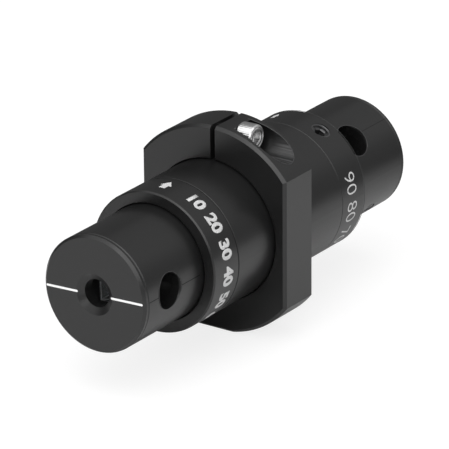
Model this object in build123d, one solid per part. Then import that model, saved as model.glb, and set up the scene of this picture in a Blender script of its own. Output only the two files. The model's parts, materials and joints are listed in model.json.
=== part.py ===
from build123d import *
import os
from math import cos, radians, sin, sqrt, tan

# A tubular optical isolator in a slit collar that screws on a post. Millimetres.
# +Y is the way the light passes, +Z is up and +X is the side that the clamp screw's head faces.
# The origin is the mouth of the post thread, on the collar's bottom flat and in its middle plane.

# Clearances
running_gap = 0.05          # between a turned piece and the bore it turns in
seat_gap = 0.03             # between two pieces that are screwed or cemented together
tip_gap = 0.08              # between a set screw's tip and the bottom of its groove or dimple
end_gap = 0.4               # between the inner end of a cell and the retainer in front of it

# Collar
axis_height = 22.3          # optical axis above the bottom flat
collar_thickness = 10.4
collar_outer_radius = 22.72
collar_half_width = 17.9    # middle plane to each side flat
collar_edge_bevel = 0.63
collar_bore_bevel = 0.3
slit_width = 1.15
post_thread_radius = 1.73   # wall of the tapped hole for an 8-32 stud

# Clamp screw, across the slit
screw_depth = 2.62          # collar's outer radius to the screw's axis
screw_shank_radius = 1.42
screw_shank_length = 7.9
screw_head_radius = 2.8
screw_head_length = 3.6
screw_head_bevel = 0.45
screw_socket_flats = 2.5
screw_socket_depth = 1.9
screw_seat = 3.87           # slit's middle plane to the face that the head bears on
screw_pocket_radius = 3.85
screw_hole_radius = 1.55    # clearance hole in the jaw with the head
screw_tap_depth = 5.0       # slit's middle plane to the bottom of the tapped hole

# Barrel and rings
barrel_radius = 15.24
barrel_length = 38.4
barrel_shift = 1.15         # barrel's middle, ahead of the collar's middle plane
barrel_bore_radius = 12.75
ring_length = 8.65
ring_mouth_bevel = 0.3      # at the ring's outer end, inside and outside
seam_bevel = 0.2            # at the seams round the tubes
ring_spigot_radius = 14.0
ring_spigot_length = 3.0

# Cells, the slim tubes at both ends
cell_radius = 12.51
input_cell_reach = 20.3     # ring's end to the face of the cap
output_cell_reach = 20.04
cell_bore_radius = 10.0
cap_flange = 1.3
cap_spigot_length = 2.0
cap_bevel = 0.56
aperture_radius = 2.99
aperture_sink_radius = 4.44
aperture_sink_depth = 0.91
port_radius = 3.85
port_from_front = 8.65      # front end of a cell to the centre of its port
port_bevel = 0.12
input_port_angle = 3.0      # from +X towards +Z
output_port_angle = 46.0
output_port_station = 14.48 # face of the output cap back to the centre of the output port

# Polarizers
prism_side = 10.0
prism_length = 10.0
prism_setback = 8.3         # face of the input cap to the first face of the input prism
prism_air_gap = 0.05        # between the two wedges, measured along the light
prism_cut_angle = 38.5      # between the cut and the face that the light enters
holder_rim = 1.5            # the holder's floor, past the prisms' inner end

# Set screws
set_screw_radius = 2.08
set_screw_flats = 1.98
set_screw_socket_depth = 1.2
lock_screw_sink = 0.2       # its top below the ring's surface
lock_screw_angle = 64.0
lock_screw_setback = 3.8    # ring's outer end to the screw's centre
lock_groove_width = 4.9     # of the groove round the output cell that its tip runs in
lock_groove_depth = 0.95
holder_screw_length = 3.0
holder_screw_sink = 0.45
holder_screw_turn = -90.0   # from the port, round the axis
holder_screw_step = 4.8     # from the port, along the light

# Faraday rotator
retainer_thickness = 2.0
retainer_bore_radius = 3.6
retainer_slot_width = 1.6
retainer_slot_depth = 0.8
magnet_count = 3
magnet_bond = 0.1
magnet_bore_radius = 5.5
sleeve_wall = 1.9
crystal_length = 18.0

# The clamp screw's axis above the optical axis
screw_height = collar_outer_radius - screw_depth

# Stations along Y
barrel_start = barrel_shift - barrel_length / 2
barrel_end = barrel_start + barrel_length
input_ring_start = barrel_start - ring_length
output_ring_end = barrel_end + ring_length
input_face = input_ring_start - input_cell_reach
output_face = output_ring_end + output_cell_reach
input_cell_end = barrel_start - end_gap
output_cell_start = barrel_end + end_gap
input_port_y = input_face + port_from_front
output_port_y = output_face - output_port_station
port_to_prism = prism_setback - port_from_front
input_prism_y = input_port_y + port_to_prism
output_prism_y = output_port_y + port_to_prism
lock_screw_y = output_ring_end - lock_screw_setback
lock_groove_floor = cell_radius - lock_groove_depth
lock_screw_top = barrel_radius - lock_screw_sink
lock_screw_length = lock_screw_top - lock_groove_floor - tip_gap
holder_screw_tip = cell_radius - holder_screw_sink - holder_screw_length
stack_start = barrel_start + ring_spigot_length + seat_gap
stack_end = barrel_end - ring_spigot_length - seat_gap


def turned(corners):
    """A piece turned about the optical axis from (radius, y) corners."""
    outline = make_face(Polyline(*corners, close=True))
    return Pos(0, 0, axis_height) * revolve(outline, Axis.Y)


def tube(outer, inner, start, end):
    return turned([(inner, start), (outer, start), (outer, end), (inner, end)])


def mirrored_along(piece, y):
    """The same piece, facing the other way about the plane at y."""
    return piece.mirror(Plane.XZ.offset(-y))


def radial_plane(y, angle, distance):
    """A plane that faces outward from the optical axis."""
    outward = Vector(cos(radians(angle)), 0, sin(radians(angle)))
    return Plane(Vector(0, y, axis_height) + outward * distance, x_dir=(0, 1, 0), z_dir=outward)


def radial_hole(radius, y, angle, start, end):
    height = end - start
    return radial_plane(y, angle, start) * Cylinder(radius, height, align=(Align.CENTER, Align.CENTER, Align.MIN))


def saddle(radius):
    """How far a hole's rim at the sides lies below a cell's surface."""
    return cell_radius - sqrt(cell_radius**2 - radius**2)


def set_screw(radius, length, y, angle, top):
    """A headless screw whose flat top, with a hexagon socket, lies at the distance top from the axis."""
    bevel = radius / 8
    screw = Cylinder(radius, length, align=(Align.CENTER, Align.CENTER, Align.MAX))
    screw = chamfer(screw.edges().filter_by(GeomType.CIRCLE), bevel)
    socket = extrude(RegularPolygon(set_screw_flats / 2, 6, major_radius=False), -set_screw_socket_depth)
    return radial_plane(y, angle, top) * (screw - socket)


def collar():
    half = collar_thickness / 2
    low = (Align.CENTER, Align.CENTER, Align.MIN)
    slit_top = axis_height + collar_outer_radius
    face_radius = collar_outer_radius - collar_edge_bevel
    disc = turned([(0, -half), (face_radius, -half), (collar_outer_radius, -half + collar_edge_bevel),
                   (collar_outer_radius, half - collar_edge_bevel), (face_radius, half), (0, half)])
    block = Box(2 * collar_half_width, collar_thickness, slit_top + collar_outer_radius, align=low)
    body = disc & chamfer(block.edges().filter_by(Axis.Y, reverse=True), collar_edge_bevel)
    bore = barrel_radius + running_gap
    body -= turned([(0, -half), (bore + collar_bore_bevel, -half), (bore, -half + collar_bore_bevel),
                    (bore, half - collar_bore_bevel), (bore + collar_bore_bevel, half), (0, half)])
    body -= Pos(0, 0, axis_height) * Box(slit_width, collar_thickness, slit_top, align=low)
    body -= Cylinder(post_thread_radius, axis_height, align=low)
    return body - screw_cuts()


def across(x):
    """A plane across the clamp screw's axis, facing the head's side."""
    return Plane((x, 0, axis_height + screw_height), x_dir=(0, 1, 0), z_dir=(1, 0, 0))


def screw_cuts():
    """The head's pocket, the clearance hole in its jaw and the tapped hole in the other jaw."""
    low = (Align.CENTER, Align.CENTER, Align.MIN)
    pocket = across(screw_seat) * Cylinder(screw_pocket_radius, collar_outer_radius, align=low)
    passage = across(0) * Cylinder(screw_hole_radius, screw_seat, align=low)
    tapped = across(-screw_tap_depth) * Cylinder(screw_shank_radius + running_gap, screw_tap_depth, align=low)
    return pocket + passage + tapped


def clamp_screw():
    head = Cylinder(screw_head_radius, screw_head_length, align=(Align.CENTER, Align.CENTER, Align.MIN))
    head = chamfer(head.edges().group_by(Axis.Z)[-1], screw_head_bevel)
    shank = Cylinder(screw_shank_radius, screw_shank_length, align=(Align.CENTER, Align.CENTER, Align.MAX))
    shank = chamfer(shank.edges().group_by(Axis.Z)[0], screw_shank_radius / 4)
    socket = Plane.XY.offset(screw_head_length) * RegularPolygon(screw_socket_flats / 2, 6, major_radius=False)
    return across(screw_seat + seat_gap) * (head + shank - extrude(socket, -screw_socket_depth))


def barrel():
    """The tube, with a counterbore at each end for the rings' threaded spigots."""
    wide = ring_spigot_radius + seat_gap
    return turned([(wide, barrel_start), (barrel_radius - seam_bevel, barrel_start),
                   (barrel_radius, barrel_start + seam_bevel), (barrel_radius, barrel_end), (wide, barrel_end),
                   (wide, stack_end), (barrel_bore_radius, stack_end), (barrel_bore_radius, stack_start),
                   (wide, stack_start)])


def ring(cell_fit):
    """The input ring: its band, the bevelled mouth round the cell and the spigot that enters the barrel."""
    bore = cell_radius + cell_fit
    spigot_end = barrel_start + ring_spigot_length
    return turned([(bore + ring_mouth_bevel, input_ring_start), (barrel_radius - ring_mouth_bevel, input_ring_start),
                   (barrel_radius, input_ring_start + ring_mouth_bevel), (barrel_radius, barrel_start - seam_bevel),
                   (barrel_radius - seam_bevel, barrel_start), (ring_spigot_radius, barrel_start),
                   (ring_spigot_radius, spigot_end), (bore, spigot_end), (bore, input_ring_start + ring_mouth_bevel)])


def output_ring():
    piece = mirrored_along(ring(running_gap), barrel_shift)
    hole = set_screw_radius + running_gap
    return piece - radial_hole(hole, lock_screw_y, lock_screw_angle, cell_radius - 1, barrel_radius + 1)


def cell(start, end, port_y, port_angle):
    """A cell's tube, cut by its port and by the tapped hole of the screw that holds its polarizer."""
    body = tube(cell_radius, cell_bore_radius, start, end)
    port = radial_hole(port_radius, port_y, port_angle, cell_bore_radius / 2, cell_radius + 1)
    rim_start = cell_radius - saddle(port_radius)
    rim = radial_plane(port_y, port_angle, rim_start) * Cone(
        port_radius, port_radius + 2 * port_bevel, cell_radius - rim_start + port_bevel,
        align=(Align.CENTER, Align.CENTER, Align.MIN))
    tapped = radial_hole(set_screw_radius + running_gap, port_y + holder_screw_step, port_angle + holder_screw_turn,
                         cell_bore_radius / 2, cell_radius + 1)
    return body - port - rim - tapped


def input_cell():
    body = cell(input_face + cap_flange, input_cell_end, input_port_y, input_port_angle)
    front_edge = body.edges().group_by(Axis.Y)[0].sort_by(SortBy.RADIUS)[-1]
    return chamfer(front_edge, seam_bevel)


def output_cell():
    body = cell(output_cell_start, output_face - cap_flange, output_port_y, output_port_angle)
    half = lock_groove_width / 2
    return body - tube(cell_radius + 1, lock_groove_floor, lock_screw_y - half, lock_screw_y + half)


def input_cap():
    """A flanged disc with a countersunk aperture."""
    spigot_end = input_face + cap_flange + cap_spigot_length
    flange_end = input_face + cap_flange
    spigot_radius = cell_bore_radius - seat_gap
    return turned([(aperture_sink_radius, input_face), (cell_radius - cap_bevel, input_face),
                   (cell_radius, input_face + cap_bevel), (cell_radius, flange_end - seam_bevel),
                   (cell_radius - seam_bevel, flange_end), (spigot_radius, flange_end), (spigot_radius, spigot_end),
                   (aperture_radius, spigot_end), (aperture_radius, input_face + aperture_sink_depth)])


def output_cap():
    return mirrored_along(input_cap(), (input_face + output_face) / 2)


def prism_holder(start, end, pocket_start, pocket_end, port_y, port_angle):
    """A sleeve with a square pocket for the prisms, an opening for the escaping beam and a dimple for its screw."""
    body = tube(cell_bore_radius - running_gap, aperture_radius, start, end)
    side = prism_side + 2 * seat_gap
    pocket = Box(side, pocket_end - pocket_start, side, align=(Align.CENTER, Align.MIN, Align.CENTER))
    body -= Pos(0, pocket_start, axis_height) * Rot(0, -port_angle, 0) * pocket
    body -= radial_hole(port_radius, port_y, port_angle, prism_side / 2, cell_radius)
    return body - radial_hole(set_screw_radius + running_gap, port_y + holder_screw_step,
                              port_angle + holder_screw_turn, holder_screw_tip - tip_gap, cell_radius)


def input_prism_holder():
    start = input_face + cap_flange + cap_spigot_length + seat_gap
    pocket_end = input_prism_y + prism_length + seat_gap
    return prism_holder(start, pocket_end + holder_rim, start, pocket_end, input_port_y, input_port_angle)


def output_prism_holder():
    end = output_face - cap_flange - cap_spigot_length - seat_gap
    pocket_start = output_prism_y - seat_gap
    return prism_holder(pocket_start - holder_rim, end, pocket_start, end, output_port_y, output_port_angle)


def prism(prism_y, port_angle, front):
    """One wedge of a polarizer. The cut sends the light that it turns away out on the port's side."""
    half = prism_side / 2
    rise = half * tan(radians(prism_cut_angle))
    middle = prism_length / 2
    gap = prism_air_gap / 2
    if front:
        corners = [(-half, 0), (half, 0), (half, middle + rise - gap), (-half, middle - rise - gap)]
    else:
        corners = [(-half, prism_length), (half, prism_length), (half, middle + rise + gap),
                   (-half, middle - rise + gap)]
    wedge = extrude(make_face(Polyline(*corners, close=True)), half, both=True)
    return Pos(0, prism_y, axis_height) * Rot(0, -port_angle, 0) * wedge


def holder_screw(port_y, port_angle):
    return set_screw(set_screw_radius, holder_screw_length, port_y + holder_screw_step,
                     port_angle + holder_screw_turn, cell_radius - holder_screw_sink)


def retainer():
    """A threaded ring with two slots for a spanner, in front of the magnets."""
    body = tube(barrel_bore_radius - seat_gap, retainer_bore_radius, stack_start, stack_start + retainer_thickness)
    slot = Box(2 * barrel_bore_radius, retainer_slot_depth, retainer_slot_width,
               align=(Align.CENTER, Align.MIN, Align.CENTER))
    return body - Pos(0, stack_start, axis_height) * slot


def magnet(number):
    """One ring of the magnet stack."""
    first = stack_start + retainer_thickness
    pitch = (stack_end - retainer_thickness - first) / magnet_count
    start = first + number * pitch
    return tube(barrel_bore_radius - seat_gap, magnet_bore_radius, start + magnet_bond / 2,
                start + pitch - magnet_bond / 2)


def crystal_sleeve():
    start = stack_start + retainer_thickness + seat_gap
    end = stack_end - retainer_thickness - seat_gap
    outer = magnet_bore_radius - seat_gap
    return tube(outer, outer - sleeve_wall, start, end)


def faraday_crystal():
    middle = (stack_start + stack_end) / 2
    radius = magnet_bore_radius - seat_gap - sleeve_wall - seat_gap
    start = middle - crystal_length / 2
    return turned([(0, start), (radius, start), (radius, start + crystal_length), (0, start + crystal_length)])


pieces = {
    "collar": collar(),
    "clamp_screw": clamp_screw(),
    "barrel": barrel(),
    "input_ring": ring(seat_gap),
    "output_ring": output_ring(),
    "input_cell": input_cell(),
    "output_cell": output_cell(),
    "input_cap": input_cap(),
    "output_cap": output_cap(),
    "input_prism_holder": input_prism_holder(),
    "output_prism_holder": output_prism_holder(),
    "output_lock_screw": set_screw(set_screw_radius, lock_screw_length, lock_screw_y, lock_screw_angle,
                                   lock_screw_top),
    "input_retainer": retainer(),
    "output_retainer": mirrored_along(retainer(), barrel_shift),
    "crystal_sleeve": crystal_sleeve(),
    "faraday_crystal": faraday_crystal(),
}
for number, place in enumerate(("input", "centre", "output")):
    pieces[place + "_magnet"] = magnet(number)
for end, prism_y, port_y, angle in (("input", input_prism_y, input_port_y, input_port_angle),
                                    ("output", output_prism_y, output_port_y, output_port_angle)):
    pieces[end + "_holder_screw"] = holder_screw(port_y, angle)
    pieces[end + "_front_prism"] = prism(prism_y, angle, True)
    pieces[end + "_rear_prism"] = prism(prism_y, angle, False)

os.makedirs("parts", exist_ok=True)
for name, piece in pieces.items():
    export_step(piece, f"parts/{name}.step")
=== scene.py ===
"""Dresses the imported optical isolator: finishes, printed marks, screws with threads, light and camera."""
import json
import math

import bmesh
import bpy
from bpy.props import FloatProperty, FloatVectorProperty, IntProperty, PointerProperty
from mathutils import Matrix, Vector


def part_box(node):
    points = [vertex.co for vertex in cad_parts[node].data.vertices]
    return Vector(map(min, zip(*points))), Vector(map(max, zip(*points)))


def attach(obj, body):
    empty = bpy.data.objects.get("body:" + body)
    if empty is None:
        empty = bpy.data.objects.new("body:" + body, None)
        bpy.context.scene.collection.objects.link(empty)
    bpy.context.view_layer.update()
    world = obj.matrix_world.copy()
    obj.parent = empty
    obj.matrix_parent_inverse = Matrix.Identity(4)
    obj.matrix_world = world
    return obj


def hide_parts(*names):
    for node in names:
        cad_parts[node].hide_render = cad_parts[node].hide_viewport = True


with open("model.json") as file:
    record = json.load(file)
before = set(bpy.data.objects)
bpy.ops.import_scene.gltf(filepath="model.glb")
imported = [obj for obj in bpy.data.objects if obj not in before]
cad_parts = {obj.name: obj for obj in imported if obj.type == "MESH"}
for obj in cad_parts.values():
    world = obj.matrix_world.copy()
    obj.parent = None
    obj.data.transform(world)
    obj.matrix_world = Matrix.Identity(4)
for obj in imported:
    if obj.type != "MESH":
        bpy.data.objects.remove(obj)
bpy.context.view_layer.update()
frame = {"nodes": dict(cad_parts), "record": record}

bl_info = {
    "name": "Optical isolator",
    "version": (1, 0, 0),
    "blender": (4, 5, 0),
    "location": "View3D > Sidebar > Isolator",
    "description": "Finishes, printed marks, screws and studio for the optical isolator",
    "category": "Object",
}

MM = 0.001
IMAGE_WIDTH = 449
SENSOR_WIDTH = 36.0


def radius_of(node):
    low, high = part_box(node)
    return (high.x - low.x) / 2


def start_of(node):
    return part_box(node)[0].y


def end_of(node):
    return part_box(node)[1].y


def middle_of(node):
    low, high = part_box(node)
    return (low + high) / 2


AXIS_Z = middle_of("barrel").z
BARREL_RADIUS = radius_of("barrel")
CELL_RADIUS = radius_of("input_cell")
INPUT_FACE = start_of("input_cap")
OUTPUT_FACE = end_of("output_cap")
INPUT_RING_START = start_of("input_ring")
OUTPUT_RING_END = end_of("output_ring")
COLLAR_RADIUS = 22.72 * MM
SCREW_AXIS_Z = middle_of("clamp_screw").z
POCKET_RADIUS = 3.85 * MM
SET_SCREW_HOLE_RADIUS = 2.12 * MM
GROUND_EDGE = 0.18 * MM
THREAD_STEPS = 48


def mount(name):
    """A mount of the record: its place, its outward axis and its radius."""
    found = next(m for m in frame["record"]["mounts"] if m["name"] == name)
    return Vector(found["pos_m"]), Vector(found["axis"]), found["dims"]["r_mm"] * MM


def joint_place(name):
    """Where a joint turns and about which axis."""
    found = next(j for j in frame["record"]["behaviour"]["joints"] if j["name"] == name)
    return Vector(found["pos_m"]), Vector(found["axis"])


def around(radius, angle, y):
    """A point at an angle in radians from +X towards +Z round the optical axis."""
    return Vector((radius * math.cos(angle), y, AXIS_Z + radius * math.sin(angle)))


# Settings


class IsolatorFinish(bpy.types.PropertyGroup):
    """Colours and gloss of the surfaces."""
    black: FloatVectorProperty(name="Anodised black", description="Colour of the housings", subtype="COLOR",
                               size=3, min=0, max=1, default=(0.0078, 0.0078, 0.0079))
    black_roughness: FloatProperty(name="Black roughness", description="Roughness of the anodised surface",
                                   default=0.31, min=0, max=1, subtype="FACTOR")
    grain: FloatProperty(name="Grain", description="Size of the blasted surface's grain", default=0.00022,
                         min=0.00001, unit="LENGTH", precision=5)
    paint: FloatVectorProperty(name="Print", description="Colour of the printed scales", subtype="COLOR", size=3,
                               min=0, max=1, default=(0.6, 0.6, 0.6))
    line_paint: FloatVectorProperty(name="Face line", description="Colour of the line on the input face",
                                    subtype="COLOR", size=3, min=0, max=1, default=(0.9, 0.9, 0.9))
    scribe: FloatVectorProperty(name="Scribed line", description="Colour of the scribed lines", subtype="COLOR",
                                size=3, min=0, max=1, default=(0.003, 0.003, 0.003))
    steel: FloatVectorProperty(name="Steel", description="Colour of the clamp screw", subtype="COLOR", size=3,
                               min=0, max=1, default=(0.72, 0.72, 0.72))
    steel_roughness: FloatProperty(name="Steel roughness", description="Roughness of the clamp screw", default=0.28,
                                   min=0, max=1, subtype="FACTOR")


class IsolatorMarks(bpy.types.PropertyGroup):
    """Printed and scribed marks."""
    relief: FloatProperty(name="Relief", description="Height of the print above the surface", default=0.000015,
                          unit="LENGTH", precision=6)
    cell_size: FloatProperty(name="Mesh step", description="Step of the marks' mesh round the tubes",
                             default=0.0005, min=0.0001, unit="LENGTH", precision=5)
    line_width: FloatProperty(name="Face line width", description="Width of the line on the input face",
                              default=0.00047, unit="LENGTH", precision=5)
    line_inner: FloatProperty(name="Face line start", description="Distance of the line's inner end from the axis",
                              default=0.00409, unit="LENGTH", precision=5)
    line_outer: FloatProperty(name="Face line end", description="Distance of the line's outer end from the axis",
                              default=0.01187, unit="LENGTH", precision=5)
    line_tilt: FloatProperty(name="Face line tilt", description="Turn of the face line from level",
                             default=math.radians(2.27), subtype="ANGLE")
    numeral_height: FloatProperty(name="Numeral height", description="Height of the scales' numerals",
                                  default=0.0034, unit="LENGTH", precision=5)
    scribe_width: FloatProperty(name="Scribe width", description="Width of the scribed lines", default=0.00018,
                                unit="LENGTH", precision=5)


class IsolatorScrews(bpy.types.PropertyGroup):
    """Shapes of the screws."""
    knurl_ridges: IntProperty(name="Knurl ridges", description="Ridges round the clamp screw's head", default=44,
                              min=8)
    knurl_depth: FloatProperty(name="Knurl depth", description="Depth of the knurl", default=0.00005,
                               unit="LENGTH", precision=5)
    clamp_pitch: FloatProperty(name="Clamp screw's pitch", description="Pitch of the clamp screw's thread",
                               default=0.0005, unit="LENGTH", precision=5)
    clamp_flats: FloatProperty(name="Clamp screw's socket", description="Across the flats of its socket",
                               default=0.0025, unit="LENGTH", precision=5)
    set_pitch: FloatProperty(name="Set screws' pitch", description="Pitch of the set screws' threads",
                             default=0.0008, unit="LENGTH", precision=5)
    set_flats: FloatProperty(name="Set screws' socket", description="Across the flats of their sockets",
                             default=0.00198, unit="LENGTH", precision=5)


class IsolatorStudio(bpy.types.PropertyGroup):
    """Camera, lamps and floor."""
    azimuth: FloatProperty(name="Azimuth", description="Camera's turn round the object", subtype="ANGLE",
                           default=math.radians(34.662))
    elevation: FloatProperty(name="Elevation", description="Camera's height above the horizon", subtype="ANGLE",
                             default=math.radians(21.985))
    roll: FloatProperty(name="Roll", description="Camera's roll", subtype="ANGLE", default=math.radians(-0.458))
    distance: FloatProperty(name="Distance", description="Camera's distance from the aim point", default=0.93487,
                            unit="LENGTH")
    aim_y: FloatProperty(name="Aim", description="Aim point along the optical axis", default=0.003, unit="LENGTH")
    side: FloatProperty(name="Side step", description="Camera's step to its left", default=0.002312, unit="LENGTH")
    drop: FloatProperty(name="Drop", description="Camera's step down", default=0.0016, unit="LENGTH")
    focal_pixels: FloatProperty(name="Focal length in pixels", description="Focal length in the photo's pixels",
                                default=4491.95)
    ambient: FloatProperty(name="Ambient", description="World strength for the diffuse light", default=0.5, min=0)
    room_dark: FloatProperty(name="Dark side", description="What gloss sees of the room on the left", default=0.16,
                             min=0)
    room_bright: FloatProperty(name="Bright side", description="What gloss sees of the room on the right",
                               default=0.45, min=0)
    floor_size: FloatProperty(name="Floor radius", description="Radius of the sheet that the object stands on",
                              default=0.3, unit="LENGTH")
    # painted shade: where the floor's colour starts and ends its darkening far behind the object
    fade_start: FloatProperty(name="Fade start", description="Depth behind the object where the floor starts to fade",
                              default=0.03, unit="LENGTH")
    fade_end: FloatProperty(name="Fade end", description="Depth behind the object where the floor is dark",
                            default=0.09, unit="LENGTH")
    floor_dark: FloatProperty(name="Floor's dark end", description="Colour of the floor far behind the object",
                              default=0.1, min=0)
    # painted shadow: factor that darkens the floor's colour below the front cell
    under_dark: FloatProperty(name="Shade below", description="Factor on the floor's colour below the front cell",
                              default=0.3, min=0)
    lamp_level: FloatProperty(name="Lamp level", description="Factor on every lamp", default=1.0, min=0)


# Node helpers


def new_material(name):
    material = bpy.data.materials.new(name)
    material.use_nodes = True
    tree = material.node_tree
    tree.nodes.clear()
    output = tree.nodes.new("ShaderNodeOutputMaterial")
    shader = tree.nodes.new("ShaderNodeBsdfPrincipled")
    tree.links.new(shader.outputs["BSDF"], output.inputs["Surface"])
    return material, tree, shader


def add_node(tree, kind, **settings):
    node = tree.nodes.new(kind)
    for key, value in settings.items():
        setattr(node, key, value)
    return node


def feed(tree, node, values):
    """Gives inputs of a node, by name or number, a value or a link from an output."""
    for key, value in values.items():
        if isinstance(value, bpy.types.NodeSocket):
            tree.links.new(value, node.inputs[key])
        else:
            node.inputs[key].default_value = value
    return node


def calculate(tree, operation, *values):
    node = add_node(tree, "ShaderNodeMath", operation=operation)
    return feed(tree, node, dict(enumerate(values))).outputs[0]


def vector_math(tree, operation, *values):
    """The result of a vector operation: a vector for SUBTRACT, a number for DOT_PRODUCT and LENGTH."""
    node = add_node(tree, "ShaderNodeVectorMath", operation=operation)
    result = "Vector" if operation == "SUBTRACT" else "Value"
    return feed(tree, node, dict(enumerate(values))).outputs[result]


def map_range(tree, value, source, target, kind="SMOOTHSTEP"):
    """Maps the range source to the range target, and holds its ends outside."""
    node = add_node(tree, "ShaderNodeMapRange", interpolation_type=kind)
    ends = {"From Min": source[0], "From Max": source[1], "To Min": target[0], "To Max": target[1]}
    return feed(tree, node, {"Value": value, **ends}).outputs["Result"]


def split(tree, vector):
    """The X, Y and Z of a vector."""
    return feed(tree, add_node(tree, "ShaderNodeSeparateXYZ"), {0: vector}).outputs


def noise(tree, values, dimensions="3D"):
    return feed(tree, add_node(tree, "ShaderNodeTexNoise", noise_dimensions=dimensions), values).outputs["Fac"]


def mix_shader(tree, factor, first, second):
    return feed(tree, add_node(tree, "ShaderNodeMixShader"), {0: factor, 1: first, 2: second}).outputs[0]


def surface_group():
    """A fine grain with slow blotches: gives a colour, a roughness and a bump height."""
    group = bpy.data.node_groups.get("Metal grain")
    if group:
        return group
    group = bpy.data.node_groups.new("Metal grain", "ShaderNodeTree")
    for name, kind, default in (("Base", "NodeSocketColor", (0.02, 0.02, 0.02, 1)),
                                ("Rough", "NodeSocketFloat", 0.4),
                                ("Grain size", "NodeSocketFloat", 0.0002),
                                ("Mottle", "NodeSocketFloat", 0.1)):
        socket = group.interface.new_socket(name=name, in_out="INPUT", socket_type=kind)
        socket.default_value = default
    for name, kind in (("Color", "NodeSocketColor"), ("Roughness", "NodeSocketFloat"), ("Height", "NodeSocketFloat")):
        group.interface.new_socket(name=name, in_out="OUTPUT", socket_type=kind)
    inside = add_node(group, "NodeGroupInput").outputs
    place = add_node(group, "ShaderNodeTexCoord").outputs["Object"]
    scale = calculate(group, "DIVIDE", 1.0, inside["Grain size"])
    fine = noise(group, {"Vector": place, "Scale": scale, "Detail": 3.0, "Roughness": 0.6})
    broad = noise(group, {"Vector": place, "Scale": 260.0, "Detail": 4.0})
    centred = calculate(group, "SUBTRACT", calculate(group, "ADD", fine, broad), 1.0)
    factor = calculate(group, "ADD", calculate(group, "MULTIPLY", centred, inside["Mottle"]), 1.0)
    tint = add_node(group, "ShaderNodeVectorMath", operation="SCALE")
    feed(group, tint, {0: inside["Base"], "Scale": factor})
    rough = calculate(group, "MULTIPLY", factor, inside["Rough"])
    outside = add_node(group, "NodeGroupOutput")
    feed(group, outside, {"Color": tint.outputs[0], "Roughness": rough, "Height": fine})
    return group


def grained(name, colour, roughness, metallic, grain, mottle, bump, specular=0.5):
    """A material whose colour, roughness and bump come from the shared grain."""
    found = bpy.data.materials.get(name)
    if found:
        return found
    material, tree, shader = new_material(name)
    grainy = add_node(tree, "ShaderNodeGroup", node_tree=surface_group())
    feed(tree, grainy, {"Base": (*colour, 1), "Rough": roughness, "Grain size": grain, "Mottle": mottle})
    relief = add_node(tree, "ShaderNodeBump")
    feed(tree, relief, {"Strength": bump, "Distance": grain / 8, "Height": grainy.outputs["Height"]})
    feed(tree, shader, {"Base Color": grainy.outputs["Color"], "Roughness": grainy.outputs["Roughness"],
                        "Normal": relief.outputs["Normal"], "Metallic": metallic, "Specular IOR Level": specular})
    return material


def glass(name, tint, ior, clear=1.0):
    """Polished glass with a faint variation of its polish. Its clear share lets light through."""
    material, tree, shader = new_material(name)
    place = add_node(tree, "ShaderNodeTexCoord").outputs["Object"]
    polish = map_range(tree, noise(tree, {"Vector": place, "Scale": 900.0}), (0.0, 1.0), (0.01, 0.05), "LINEAR")
    feed(tree, shader, {"Roughness": polish, "Base Color": (*tint, 1), "Transmission Weight": clear, "IOR": ior})
    return material


def anodised():
    finish = bpy.context.scene.isolator_finish
    return grained("Anodised black", finish.black, finish.black_roughness, 0.0, finish.grain, 0.12, 0.25)


def bored_anodised():
    """The collar's finish, with light stripes painted along the wall of the screw's pocket towards its outer end as
    painted highlights.
    """
    material = anodised().copy()
    material.name = "Anodised black, painted pocket highlights"
    tree = material.node_tree
    shader = next(node for node in tree.nodes if node.type == "BSDF_PRINCIPLED")
    base = shader.inputs["Base Color"].links[0].from_socket
    place = add_node(tree, "ShaderNodeTexCoord").outputs["Object"]
    parts = split(tree, vector_math(tree, "SUBTRACT", place, (0, 0, SCREW_AXIS_Z)))
    turn = calculate(tree, "ARCTAN2", parts["Z"], parts["Y"])
    painted_highlight_streaks = map_range(tree, noise(tree, {"W": turn, "Scale": 7.0, "Detail": 2.0}, "1D"), (0.38, 0.64), (0.0, 1.0),
                        "LINEAR")
    across = feed(tree, add_node(tree, "ShaderNodeCombineXYZ"), {"Y": parts["Y"], "Z": parts["Z"]})
    distance = vector_math(tree, "LENGTH", across.outputs[0])
    near = calculate(tree, "LESS_THAN", distance, POCKET_RADIUS + 0.03 * MM)
    outer_end = map_range(tree, parts["X"], (9 * MM, 12 * MM), (0.0, 1.0), "LINEAR")
    factor = calculate(tree, "MULTIPLY", calculate(tree, "MULTIPLY", painted_highlight_streaks, near), outer_end)
    # painted highlight: light stripes on the pocket's wall, stronger towards its outer end
    mix = add_node(tree, "ShaderNodeMix", data_type="RGBA")
    feed(tree, mix, {"Factor": factor, "A": base, "B": (0.06, 0.06, 0.061, 1)})
    feed(tree, shader, {"Base Color": mix.outputs["Result"]})
    return material


def black_oxide():
    return grained("Black oxide", (0.09, 0.09, 0.092), 0.3, 0.9, 0.0003, 0.15, 0.2)


def printed(name, colour):
    return grained(name, colour, 0.55, 0.0, 0.00012, 0.2, 0.4, 0.3)


def assign(node, material):
    """Gives a frame node its material."""
    piece = frame["nodes"][node]
    piece.data.materials.clear()
    piece.data.materials.append(material)


# Mesh helpers


def add_piece(name, made, material, body):
    """Makes a piece from a bmesh and lets it ride on a body."""
    bmesh.ops.recalc_face_normals(made, faces=made.faces)
    mesh = bpy.data.meshes.new(name)
    made.to_mesh(mesh)
    made.free()
    piece = bpy.data.objects.new(name, mesh)
    bpy.context.scene.collection.objects.link(piece)
    piece.data.materials.append(material)
    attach(piece, body)
    return piece


def soften(piece, angle):
    """Smooth shading with creases past the angle in degrees."""
    for polygon in piece.data.polygons:
        polygon.use_smooth = True
    piece.data.set_sharp_from_angle(angle=math.radians(angle))


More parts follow.
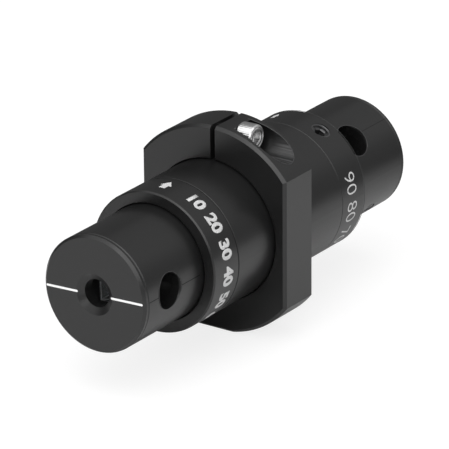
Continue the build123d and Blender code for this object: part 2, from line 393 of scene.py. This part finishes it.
def skin_rows(made, rows, place, loop=False):
    """Joins rows of points, all with the same number, into a closed skin: a loop, or with a point at each end."""
    rings = [[made.verts.new(place @ point) for point in row] for row in rows]
    count = len(rows[0])
    for first, second in zip(rings, rings[1:] + rings[:loop]):
        for i in range(count):
            j = (i + 1) % count
            made.faces.new((first[i], first[j], second[j], second[i]))
    for ring in () if loop else (rings[0], rings[-1]):
        centre = made.verts.new(sum((v.co for v in ring), Vector()) / count)
        for i in range(count):
            made.faces.new((ring[i], ring[(i + 1) % count], centre))


def circle_row(count, height, radius_at):
    """Points round the local Z axis. The radius may depend on the angle."""
    return [Vector((radius_at(turn) * math.cos(turn), radius_at(turn) * math.sin(turn), height))
            for turn in (math.tau * i / count for i in range(count))]


def plain(radius):
    """The same radius at every angle."""
    return lambda turn: radius


def hexagon(flats):
    """Radius of a hexagon at an angle."""
    sector = math.radians(60)
    return lambda turn: flats / 2 / math.cos((turn + sector / 2) % sector - sector / 2)


def thread_rows(count, bottom, top, radius, pitch, depth, lead):
    """Rows of a screw thread between two heights, tapering over the lead at the lower end."""
    per_turn = 8
    steps = max(2, round((top - bottom) / pitch * per_turn))
    rows = []
    for step in range(steps + 1):
        height = bottom + (top - bottom) * step / steps
        trim = max(0.0, 1 - (height - bottom) / lead) * depth

        def radius_at(turn, height=height, trim=trim):
            phase = (height / pitch - turn / math.tau) % 1.0
            return radius - depth * abs(2 * phase - 1) - trim

        rows.append(circle_row(count, height, radius_at))
    return rows


def bead_rows(rim, first, last, thickness):
    """Rows of a thin bead that follows a rim, given as a function of the angle."""
    steps, sides, small = 72, 6, 0.01
    rows = []
    for step in range(steps + 1):
        turn = first + (last - first) * step / steps
        centre = rim(turn)
        along = (rim(turn + small) - rim(turn - small)).normalized()
        outward = Vector((centre.x, 0, centre.z - AXIS_Z)).normalized()
        side = along.cross(outward).normalized()
        rows.append([centre + thickness * (math.cos(a) * side + math.sin(a) * outward)
                     for a in (math.tau * i / sides for i in range(sides))])
    return rows


def frame_at(place, axis):
    """A matrix with local Z along the axis."""
    return Matrix.Translation(place) @ axis.to_track_quat("Z", "Y").to_matrix().to_4x4()


# Marks


def flat_text(words, height, weight):
    """A flat bmesh of the words, centred, height tall. The weight thickens the strokes."""
    curve = bpy.data.curves.new("words", "FONT")
    curve.body = words
    curve.align_x = "CENTER"
    curve.align_y = "CENTER"
    curve.resolution_u = 4
    curve.offset = weight
    holder = bpy.data.objects.new("words", curve)
    bpy.context.scene.collection.objects.link(holder)
    bpy.context.view_layer.update()
    mesh = bpy.data.meshes.new_from_object(holder.evaluated_get(bpy.context.evaluated_depsgraph_get()))
    bpy.data.objects.remove(holder)
    bpy.data.curves.remove(curve)
    made = bmesh.new()
    made.from_mesh(mesh)
    bpy.data.meshes.remove(mesh)
    bmesh.ops.remove_doubles(made, verts=made.verts, dist=1e-5)
    low = min(v.co.y for v in made.verts)
    high = max(v.co.y for v in made.verts)
    factor = height / (high - low)
    middle = (low + high) / 2
    for v in made.verts:
        v.co = Vector((v.co.x * factor, (v.co.y - middle) * factor, 0))
    return made


def flat_outline(points):
    made = bmesh.new()
    made.faces.new([made.verts.new((x, y, 0)) for x, y in points])
    return made


def rounded_bar(length, width, along=True):
    """A bar with round ends, centred."""
    half, radius, steps = length / 2 - width / 2, width / 2, 8
    points = []
    for centre, start in ((half, -90), (-half, 90)):
        for step in range(steps + 1):
            turn = math.radians(start + 180 * step / steps)
            points.append((centre + radius * math.cos(turn), radius * math.sin(turn)))
    return flat_outline(points if along else [(-y, x) for x, y in points])


def arrow_outline(length, head_length, head_width, shaft_width):
    """An arrow that points along local Y."""
    tip, neck, tail = length / 2, length / 2 - head_length, -length / 2
    head, shaft = head_width / 2, shaft_width / 2
    return flat_outline([(0, tip), (-head, neck), (-shaft, neck), (-shaft, tail), (shaft, tail), (shaft, neck),
                         (head, neck)])


def wrap(flat, radius, angle, y, relief, step):
    """Bends a flat shape round a tube into a thin solid. Its local Y lies along the tube."""
    reach = max(abs(v.co.x) for v in flat.verts)
    cuts = int(reach / step)
    for number in range(-cuts, cuts + 1):
        geometry = flat.verts[:] + flat.edges[:] + flat.faces[:]
        bmesh.ops.bisect_plane(flat, geom=geometry, plane_co=(number * step, 0, 0), plane_no=(1, 0, 0))
    bmesh.ops.triangulate(flat, faces=flat.faces)
    thicken(flat, relief)
    for v in flat.verts:
        v.co = around(radius + v.co.z, angle - v.co.x / radius, y + v.co.y)
    return flat


def thicken(flat, relief):
    """Makes a flat shape a solid from just below to just above its plane."""
    for v in flat.verts:
        v.co.z = -relief
    made = bmesh.ops.extrude_face_region(flat, geom=flat.faces[:])
    for v in (e for e in made["geom"] if isinstance(e, bmesh.types.BMVert)):
        v.co.z = relief


def merge(parts):
    """One bmesh out of several."""
    whole = bmesh.new()
    for part in parts:
        mesh = bpy.data.meshes.new("part")
        part.to_mesh(mesh)
        part.free()
        whole.from_mesh(mesh)
        bpy.data.meshes.remove(mesh)
    return whole


# piece, body, middle of the numerals along Y, first angle, end angle, step, first number, count per step,
# weight of the strokes, height as a share of the numerals' height
SCALES = (
    ("input_scale", "barrel", INPUT_RING_START + 4.95 * MM, 61, -115, -22, 10, 10, 0.045, 1.0),
    ("output_scale", "barrel", OUTPUT_RING_END - 4.75 * MM, 14, -178, -24, 90, -10, -0.012, 1.02),
)

# piece, body, tube radius, angle, start and end along Y, width as a share of the scribed lines' width
SCRIBED_LINES = (
    ("input_scribe_front", "barrel", CELL_RADIUS, 2.6, INPUT_FACE + 1.5 * MM, INPUT_FACE + 4.7 * MM, 1.0),
    ("input_scribe_rear", "barrel", CELL_RADIUS, 2.6, INPUT_FACE + 12.6 * MM, INPUT_FACE + 18.9 * MM, 1.0),
    ("output_scribe", "output_cell", CELL_RADIUS, 49, OUTPUT_FACE - 10.4 * MM, OUTPUT_FACE - 1.2 * MM, 0.45),
)

# piece, angle, middle along Y, length, head's length, head's width, shaft's width in mm
ARROWS = (
    ("input_arrow", 90.0, -21.65, 3.5, 2.0, 2.7, 1.4),
    ("output_arrow", 108.5, 25.2, 2.6, 1.5, 1.7, 0.95),
)

# node, radius of its tube, depth of its top below the tube's surface in mm
SET_SCREWS = (
    ("output_lock_screw", BARREL_RADIUS, 0.7),
    ("input_holder_screw", CELL_RADIUS, 0.12),
    ("output_holder_screw", CELL_RADIUS, 0.12),
)


# Operators


class ISOLATOR_OT_housing(bpy.types.Operator):
    """Give the collar, barrel, rings, cells and caps their anodised finish"""
    bl_idname = "isolator.housing"
    bl_label = "Housing"

    def execute(self, context):
        for node in ("barrel", "input_ring", "output_ring", "input_cell", "output_cell", "input_cap",
                     "output_cap", "input_prism_holder", "output_prism_holder"):
            assign(node, anodised())
        assign("collar", bored_anodised())
        return {"FINISHED"}


class ISOLATOR_OT_worn_edges(bpy.types.Operator):
    """Bead the edges of the screw's pocket, the ports and the output ring with a light finish for wear and painted
    highlight, and put dark beads in the seams as painted shade
    """
    bl_idname = "isolator.worn_edges"
    bl_label = "Edge beads and painted light"

    def execute(self, context):
        # beads on the edges, painted lighter: partly wear, partly a painted highlight along each edge
        worn_and_painted_highlight = grained("Worn edge, painted highlight", (0.04, 0.04, 0.041), 0.35, 0.0, 0.0002, 0.2, 0.25)
        # dark beads in the seams: painted shade in the gaps between the barrel and the rings
        dark = grained("Seam", (0.003, 0.003, 0.003), 0.6, 0.0, 0.0001, 0.2, 0.3, 0.2)
        seam_radius = BARREL_RADIUS - 0.05 * MM

        def pocket(turn):
            up = SCREW_AXIS_Z - AXIS_Z + POCKET_RADIUS * math.sin(turn)
            return Vector((math.sqrt(COLLAR_RADIUS ** 2 - up ** 2), POCKET_RADIUS * math.cos(turn), AXIS_Z + up))

        def port(name):
            place, axis, radius = mount(name)

            def rim(turn):
                tilt = math.asin(radius * math.sin(turn) / CELL_RADIUS)
                return around(CELL_RADIUS, math.atan2(axis.z, axis.x) + tilt, place.y + radius * math.cos(turn))

            return rim

        def ring(radius, y):
            return lambda turn: around(radius, turn, y)

        # piece, body, rim, first and last angle along it, radius of the bead in mm, material
        for name, body, rim, first, last, thickness, material in (
                ("pocket_rim", "collar", pocket, -150, 38, 0.09, worn_and_painted_highlight),
                ("input_port_rim", "barrel", port("input_port"), 0, 360, 0.06, worn_and_painted_highlight),
                ("output_port_rim", "output_cell", port("output_port"), 0, 360, 0.08, worn_and_painted_highlight),
                ("output_ring_edge", "barrel", ring(BARREL_RADIUS, OUTPUT_RING_END), 0, 360, 0.05, worn_and_painted_highlight),
                ("input_seam_painted_shade", "barrel", ring(seam_radius, start_of("barrel")), 0, 360, 0.06, dark),
                ("output_seam_painted_shade", "barrel", ring(seam_radius, end_of("barrel")), 0, 360, 0.06, dark)):
            rows = bead_rows(rim, math.radians(first), math.radians(last), thickness * MM)
            loop = last - first == 360
            made = bmesh.new()
            skin_rows(made, rows[:-1] if loop else rows, Matrix.Identity(4), loop)
            soften(add_piece(name, made, material, body), 80)
        return {"FINISHED"}


class ISOLATOR_OT_inside(bpy.types.Operator):
    """Give the prisms, the crystal, the magnets and the inner rings their finishes"""
    bl_idname = "isolator.inside"
    bl_label = "Optics and magnets"

    def execute(self, context):
        calcite = glass("Calcite", (0.93, 0.95, 0.96), 1.6, 0.9)
        ground = grained("Ground calcite", (0.8, 0.8, 0.81), 0.7, 0.0, 0.0001, 0.2, 0.3, 0.3)
        for node, body in (("input_front_prism", "barrel"), ("input_rear_prism", "barrel"),
                           ("output_front_prism", "output_cell"), ("output_rear_prism", "output_cell")):
            made = bmesh.new()
            made.from_mesh(frame["nodes"][node].data)
            bmesh.ops.remove_doubles(made, verts=made.verts, dist=1e-6)
            bmesh.ops.dissolve_limit(made, angle_limit=0.01, verts=made.verts, edges=made.edges)
            bmesh.ops.bevel(made, geom=made.edges[:], offset=GROUND_EDGE, segments=1, affect="EDGES", material=1)
            piece = add_piece(node + "_bevelled", made, calcite, body)
            piece.data.materials.append(ground)
            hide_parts(node)
        assign("faraday_crystal", glass("Magneto-optic crystal", (0.9, 0.88, 0.78), 1.95))
        nickel = grained("Nickel plate", (0.62, 0.6, 0.56), 0.25, 1.0, 0.0003, 0.1, 0.1)
        for place in ("input", "centre", "output"):
            assign(place + "_magnet", nickel)
        brass = grained("Brass", (0.65, 0.5, 0.25), 0.3, 1.0, 0.0003, 0.1, 0.1)
        for node in ("crystal_sleeve", "input_retainer", "output_retainer"):
            assign(node, brass)
        return {"FINISHED"}


class ISOLATOR_OT_clamp_screw(bpy.types.Operator):
    """Make the clamp screw with its knurled head, socket and thread"""
    bl_idname = "isolator.clamp_screw"
    bl_label = "Clamp screw"

    def execute(self, context):
        finish, screws = context.scene.isolator_finish, context.scene.isolator_screws
        low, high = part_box("clamp_screw")
        place, axis = joint_place("clamp_screw_turn")
        head_radius = (high.y - low.y) / 2
        shank_radius, seat, end, tip = 1.42 * MM, 3.9 * MM, high.x, low.x
        count = 4 * screws.knurl_ridges
        bevel, socket_depth, mouth_radius = 0.26 * MM, 1.4 * MM, 1.6 * MM

        def knurled(turn):
            wave = 0.5 - 0.5 * math.cos(turn * screws.knurl_ridges)
            return head_radius - screws.knurl_depth * wave

        socket = hexagon(screws.clamp_flats)
        head = [circle_row(count, height, radius_at) for height, radius_at in (
            (seat, plain(head_radius - 0.2 * MM)),
            (seat + 0.12 * MM, plain(head_radius - 0.02 * MM)),
            (seat + 0.3 * MM, plain(head_radius - 0.02 * MM)),
            (seat + 0.38 * MM, knurled),
            (end - bevel - 0.12 * MM, knurled),
            (end - bevel, plain(head_radius - screws.knurl_depth)),
            (end, plain(head_radius - bevel)),
            (end, plain(mouth_radius + 0.7 * MM)),
            (end - 0.1 * MM, plain(mouth_radius + 0.55 * MM)),
            (end, plain(mouth_radius + 0.4 * MM)),
            (end, plain(mouth_radius)),
            (end - 0.16 * MM, socket),
            (end - socket_depth, socket))]
        thread_end, thread_depth, thread_lead = seat - 0.9 * MM, 0.17 * MM, 0.5 * MM
        shank = thread_rows(THREAD_STEPS, tip, thread_end, shank_radius, screws.clamp_pitch, thread_depth, thread_lead)
        shank += [circle_row(THREAD_STEPS, height, plain(shank_radius))
                  for height in (seat - 0.7 * MM, seat + 0.05 * MM)]
        made = bmesh.new()
        for rows in (head, shank):
            skin_rows(made, rows, frame_at(Vector((0, place.y, place.z)), axis))
        steel = grained("Bright steel", finish.steel, finish.steel_roughness, 1.0, 0.0003, 0.1, 0.2)
        piece = add_piece("clamp_screw_detailed", made, steel, "clamp_screw")
        # painted shade: the screw's end face gets a darker copy of the bright steel
        piece.data.materials.append(grained("Bright steel, painted shade on the end", (0.42, 0.42, 0.42), 0.34, 1.0, 0.0003, 0.2, 0.3))
        for polygon in piece.data.polygons:
            polygon.material_index = int(polygon.center.x > end - 0.02 * MM)
        soften(piece, 22)
        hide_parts("clamp_screw")
        return {"FINISHED"}


class ISOLATOR_OT_set_screws(bpy.types.Operator):
    """Make the headless set screws with their sockets and threads"""
    bl_idname = "isolator.set_screws"
    bl_label = "Set screws"

    def execute(self, context):
        screws = context.scene.isolator_screws
        for node, tube_radius, sink in SET_SCREWS:
            place, axis = joint_place(node + "_turn")
            mesh = frame["nodes"][node].data
            heights = [(v.co - place).dot(axis) for v in mesh.vertices]
            radii = [((v.co - place) - axis * (v.co - place).dot(axis)).length for v in mesh.vertices]
            centre_distance = Vector((place.x, 0, place.z - AXIS_Z)).length
            top, bottom, radius = tube_radius - sink * MM - centre_distance, min(heights), max(radii)
            bevel, thread_depth, socket_depth = radius / 8, 0.28 * MM, 1.2 * MM
            socket, mouth_radius = hexagon(screws.set_flats), screws.set_flats * 0.66
            rows = thread_rows(THREAD_STEPS, bottom, top - bevel, radius, screws.set_pitch, thread_depth, bevel)
            rows += [circle_row(THREAD_STEPS, height, radius_at) for height, radius_at in (
                (top, plain(radius - bevel)),
                (top, plain(mouth_radius)),
                (top - 0.2 * MM, socket),
                (top - socket_depth, socket))]
            made = bmesh.new()
            skin_rows(made, rows, frame_at(place, axis))
            piece = add_piece(node + "_detailed", made, black_oxide(), node)
            soften(piece, 35)
            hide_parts(node)
        return {"FINISHED"}


class ISOLATOR_OT_hole_thread(bpy.types.Operator):
    """Cut the thread that shows above the sunk lock screw"""
    bl_idname = "isolator.hole_thread"
    bl_label = "Hole thread"

    def execute(self, context):
        screws = context.scene.isolator_screws
        node, tube_radius, sink = SET_SCREWS[0]
        place, axis = joint_place(node + "_turn")
        surface = tube_radius - Vector((place.x, 0, place.z - AXIS_Z)).length
        thread_depth, thread_lead, wall = 0.3 * MM, 0.01 * MM, 0.05 * MM
        rows = thread_rows(THREAD_STEPS, surface - (sink - 0.05) * MM, surface - 0.2 * MM, SET_SCREW_HOLE_RADIUS,
                           screws.set_pitch / 2, thread_depth, thread_lead)
        outer = [circle_row(THREAD_STEPS, row[0].z, plain(SET_SCREW_HOLE_RADIUS + wall)) for row in rows]
        made = bmesh.new()
        skin_rows(made, rows + outer[::-1], frame_at(place, axis), loop=True)
        bare = grained("Cut thread", (0.07, 0.07, 0.072), 0.3, 0.4, 0.0003, 0.15, 0.2)
        soften(add_piece("output_lock_hole_thread", made, bare, "barrel"), 35)
        return {"FINISHED"}


class ISOLATOR_OT_face_line(bpy.types.Operator):
    """Make the white line across the input face"""
    bl_idname = "isolator.face_line"
    bl_label = "Face line"

    def execute(self, context):
        marks, finish = context.scene.isolator_marks, context.scene.isolator_finish
        middle = (marks.line_inner + marks.line_outer) / 2
        parts = []
        for side in (0, math.pi):
            bar = rounded_bar(marks.line_outer - marks.line_inner, marks.line_width)
            thicken(bar, marks.relief)
            turn = Matrix.Rotation(marks.line_tilt + side, 4, "Z")
            stand = Matrix(((1, 0, 0, 0), (0, 0, -1, INPUT_FACE), (0, 1, 0, AXIS_Z), (0, 0, 0, 1)))
            bar.transform(stand @ turn @ Matrix.Translation((middle, 0, 0)))
            parts.append(bar)
        add_piece("face_line", merge(parts), printed("White line", finish.line_paint), "barrel")
        return {"FINISHED"}


class ISOLATOR_OT_scales(bpy.types.Operator):
    """Print a scale of plain numbers round each ring"""
    bl_idname = "isolator.scales"
    bl_label = "Scales"

    def execute(self, context):
        marks, finish = context.scene.isolator_marks, context.scene.isolator_finish
        for name, body, y, first, last, step, number, per_step, weight, share in SCALES:
            parts = []
            for angle in range(first, last, step):
                flat = flat_text(str(number), marks.numeral_height * share, weight)
                parts.append(wrap(flat, BARREL_RADIUS, math.radians(angle), y, marks.relief, marks.cell_size))
                number += per_step
            add_piece(name, merge(parts), printed("Light grey print", finish.paint), body)
        return {"FINISHED"}


class ISOLATOR_OT_arrows(bpy.types.Operator):
    """Print the arrows that show which way the light passes"""
    bl_idname = "isolator.arrows"
    bl_label = "Arrows"

    def execute(self, context):
        marks, finish = context.scene.isolator_marks, context.scene.isolator_finish
        for name, angle, y, length, head_length, head_width, shaft_width in ARROWS:
            flat = arrow_outline(length * MM, head_length * MM, head_width * MM, shaft_width * MM)
            arrow = wrap(flat, BARREL_RADIUS, math.radians(angle), y * MM, marks.relief, marks.cell_size)
            add_piece(name, arrow, printed("Light grey print", finish.paint), "barrel")
        return {"FINISHED"}


class ISOLATOR_OT_scribed_lines(bpy.types.Operator):
    """Scribe the lines that show how the polarizers are turned"""
    bl_idname = "isolator.scribed_lines"
    bl_label = "Scribed lines"

    def execute(self, context):
        marks, finish = context.scene.isolator_marks, context.scene.isolator_finish
        dark = grained("Scribed line", finish.scribe, 0.6, 0.0, 0.0001, 0.2, 0.3, 0.2)
        for name, body, radius, angle, start, end, share in SCRIBED_LINES:
            flat = rounded_bar(end - start, marks.scribe_width * share, along=False)
            line = wrap(flat, radius, math.radians(angle), (start + end) / 2, marks.relief / 2, marks.cell_size)
            add_piece(name, line, dark, body)
        return {"FINISHED"}


class ISOLATOR_OT_stage(bpy.types.Operator):
    """Make the floor, the lamps, the world and the camera"""
    bl_idname = "isolator.stage"
    bl_label = "Stage"

    def execute(self, context):
        studio = context.scene.isolator_studio
        make_floor(studio)
        make_world(studio)
        for name, azimuth, elevation, distance, width, height, glow in LAMPS:
            make_lamp(name, azimuth, elevation, distance, width, height, glow * studio.lamp_level)
        make_camera(studio)
        context.scene.view_settings.view_transform = "Standard"
        return {"FINISHED"}


# Stage


# name, azimuth and elevation in degrees seen from the object, distance, width and height in metres, and how
# bright its face is, where 1 is a lit white card
LAMPS = (
    ("softbox_behind", 172, 38, 1.0, 1.1, 0.6, 0.14),
    ("softbox_front", 30, 34, 1.1, 0.9, 0.9, 2.0),
    ("softbox_left", -32, 52, 1.0, 1.0, 0.9, 1.1),
    ("softbox_top", 60, 80, 1.0, 1.0, 1.0, 1.6),
)

WHITE = (1, 1, 1, 1)
AMBIENT_COLOUR = (0.8, 0.8, 0.8, 1)
FLOOR_DROP = 0.05 * MM  # keeps the floor off the collar's bottom flat
FLOOR_COLOUR, FLOOR_GLOW = 0.85, 0.04
CAMERA_FLOOR_COLOUR, CAMERA_FLOOR_GLOW = (0.25, 0.25, 0.25, 1), 0.8
# painted shadow on the floor below the front cell: its middle and half axes, and where it ends inside and outside of
# them
SHADE_MIDDLE, SHADE_SIZE, SHADE_RANGE = (-4 * MM, -26 * MM, 0), (12 * MM, 32 * MM, 1), (0.4, 1.2)
# the room that gloss sees: from where to where it changes across and upwards, and its levels below and above
ROOM_SIDES, ROOM_RISE, ROOM_LEVELS = (-0.5, 0.6), (0.0, 0.5), (0.7, 1.15)


def bearing(azimuth, elevation):
    """Direction towards a lamp or camera. Azimuth 0 lies on the input side, 90 on the clamp screw's side."""
    a, e = math.radians(azimuth), math.radians(elevation)
    return Vector((math.sin(a) * math.cos(e), -math.cos(a) * math.cos(e), math.sin(e)))


def make_lamp(name, azimuth, elevation, distance, width, height, glow):
    lamp = bpy.data.lights.new(name, "AREA")
    lamp.shape = "RECTANGLE"
    lamp.size = width
    lamp.size_y = height
    lamp.energy = glow * math.pi * width * height
    holder = bpy.data.objects.new(name, lamp)
    back = bearing(azimuth, elevation)
    holder.location = Vector((0, 0, AXIS_Z)) + back * distance
    holder.rotation_euler = back.to_track_quat("Z", "Y").to_euler()
    bpy.context.scene.collection.objects.link(holder)


def make_floor(studio):
    made = bmesh.new()
    bmesh.ops.create_circle(made, cap_ends=True, radius=studio.floor_size, segments=96)
    mesh = bpy.data.meshes.new("floor")
    made.to_mesh(mesh)
    made.free()
    floor = bpy.data.objects.new("floor", mesh)
    floor.location.z = -FLOOR_DROP
    bpy.context.scene.collection.objects.link(floor)
    floor.data.materials.append(floor_material(studio))


def white_rays(tree):
    """One for the rays that see the white background: those of the camera and those through glass."""
    rays = add_node(tree, "ShaderNodeLightPath").outputs
    return calculate(tree, "MAXIMUM", rays["Is Camera Ray"], rays["Is Transmission Ray"])


def matt_and_glow(tree, colour, glow_colour, strength):
    """A matt surface that also glows a little by itself."""
    matt = feed(tree, add_node(tree, "ShaderNodeBsdfDiffuse"), {"Color": colour})
    glow = feed(tree, add_node(tree, "ShaderNodeEmission"), {"Color": glow_colour, "Strength": strength})
    both = add_node(tree, "ShaderNodeAddShader")
    return feed(tree, both, {0: matt.outputs[0], 1: glow.outputs[0]}).outputs[0]


def floor_material(studio):
    """Pale floor, white to the camera but for a faint shadow.

    Gloss and diffuse light see it lit as it is, and also darkened by painted shade far behind and by a painted shadow
    below the front cell.
    """
    material = bpy.data.materials.new("Pale floor")
    material.use_nodes = True
    tree = material.node_tree
    tree.nodes.clear()
    place = add_node(tree, "ShaderNodeTexCoord").outputs["Object"]
    # painted shade: the floor's colour darkens far behind the object
    away = (-math.sin(studio.azimuth), math.cos(studio.azimuth), 0)
    fade = map_range(tree, vector_math(tree, "DOT_PRODUCT", place, away), (studio.fade_start, studio.fade_end),
                     (FLOOR_COLOUR, studio.floor_dark))
    # painted shadow: the floor's colour darkens below the front cell
    shade = add_node(tree, "ShaderNodeMapping", vector_type="TEXTURE")
    feed(tree, shade, {"Vector": place, "Location": SHADE_MIDDLE, "Scale": SHADE_SIZE})
    painted_shadow = map_range(tree, vector_math(tree, "LENGTH", shade.outputs["Vector"]), SHADE_RANGE,
                      (studio.under_dark, 1.0))
    tone_with_painted_shade = calculate(tree, "MULTIPLY", fade, painted_shadow)
    lit = matt_and_glow(tree, tone_with_painted_shade, tone_with_painted_shade, FLOOR_GLOW)
    white = matt_and_glow(tree, CAMERA_FLOOR_COLOUR, WHITE, CAMERA_FLOOR_GLOW)
    output = add_node(tree, "ShaderNodeOutputMaterial")
    feed(tree, output, {"Surface": mix_shader(tree, white_rays(tree), lit, white)})
    return material


def make_world(studio):
    """White to the camera and through glass, plain to diffuse light. Gloss sees a room, dark on the left and below."""
    world = bpy.data.worlds.new("studio")
    bpy.context.scene.world = world
    world.use_nodes = True
    tree = world.node_tree
    tree.nodes.clear()

    def background(colour, strength):
        return feed(tree, add_node(tree, "ShaderNodeBackground"), {"Color": colour, "Strength": strength}).outputs[0]

    parts = split(tree, add_node(tree, "ShaderNodeTexCoord").outputs["Generated"])
    room = background(map_range(tree, parts["X"], ROOM_SIDES, (studio.room_dark, studio.room_bright)),
                      map_range(tree, parts["Z"], ROOM_RISE, ROOM_LEVELS))
    glossy = add_node(tree, "ShaderNodeLightPath").outputs["Is Glossy Ray"]
    unseen = mix_shader(tree, glossy, background(AMBIENT_COLOUR, studio.ambient), room)
    output = add_node(tree, "ShaderNodeOutputWorld")
    feed(tree, output, {"Surface": mix_shader(tree, white_rays(tree), unseen, background(WHITE, 1.0))})


def make_camera(studio):
    back = bearing(math.degrees(studio.azimuth), math.degrees(studio.elevation))
    level = Vector((math.cos(studio.azimuth), math.sin(studio.azimuth), 0))
    upward = back.cross(level)
    right = level * math.cos(studio.roll) + upward * math.sin(studio.roll)
    up = back.cross(right)
    aim = Vector((0, studio.aim_y, AXIS_Z))
    place = aim + back * studio.distance - right * studio.side - up * studio.drop
    camera = bpy.data.cameras.new("camera")
    camera.sensor_width = SENSOR_WIDTH
    camera.lens = studio.focal_pixels * SENSOR_WIDTH / IMAGE_WIDTH
    camera.clip_start = 0.01
    camera.clip_end = 10.0
    holder = bpy.data.objects.new("camera", camera)
    axes = Matrix((right, up, back)).transposed()
    holder.matrix_world = Matrix.Translation(place) @ axes.to_4x4()
    bpy.context.scene.collection.objects.link(holder)
    bpy.context.scene.camera = holder


class VIEW3D_PT_isolator(bpy.types.Panel):
    """Settings and steps of the optical isolator"""
    bl_label = "Optical isolator"
    bl_space_type = "VIEW_3D"
    bl_region_type = "UI"
    bl_category = "Isolator"

    def draw(self, context):
        scene = context.scene
        for settings in (scene.isolator_finish, scene.isolator_marks, scene.isolator_screws, scene.isolator_studio):
            box = self.layout.box()
            for name in settings.__annotations__:
                box.prop(settings, name)
        for step in STEPS:
            self.layout.operator(step.bl_idname)


STEPS = (ISOLATOR_OT_housing, ISOLATOR_OT_worn_edges, ISOLATOR_OT_inside, ISOLATOR_OT_clamp_screw,
         ISOLATOR_OT_set_screws, ISOLATOR_OT_hole_thread, ISOLATOR_OT_face_line, ISOLATOR_OT_scales,
         ISOLATOR_OT_arrows, ISOLATOR_OT_scribed_lines, ISOLATOR_OT_stage)
CLASSES = (IsolatorFinish, IsolatorMarks, IsolatorScrews, IsolatorStudio, *STEPS, VIEW3D_PT_isolator)


def register():
    for kind in CLASSES:
        bpy.utils.register_class(kind)
    bpy.types.Scene.isolator_finish = PointerProperty(type=IsolatorFinish)
    bpy.types.Scene.isolator_marks = PointerProperty(type=IsolatorMarks)
    bpy.types.Scene.isolator_screws = PointerProperty(type=IsolatorScrews)
    bpy.types.Scene.isolator_studio = PointerProperty(type=IsolatorStudio)


def unregister():
    del bpy.types.Scene.isolator_studio
    del bpy.types.Scene.isolator_screws
    del bpy.types.Scene.isolator_marks
    del bpy.types.Scene.isolator_finish
    for kind in reversed(CLASSES):
        bpy.utils.unregister_class(kind)


def main():
    register()
    bpy.ops.isolator.housing()
    bpy.ops.isolator.worn_edges()
    bpy.ops.isolator.inside()
    bpy.ops.isolator.clamp_screw()
    bpy.ops.isolator.set_screws()
    bpy.ops.isolator.hole_thread()
    bpy.ops.isolator.face_line()
    bpy.ops.isolator.scales()
    bpy.ops.isolator.arrows()
    bpy.ops.isolator.scribed_lines()
    bpy.ops.isolator.stage()


if __name__ == "__main__":
    main()
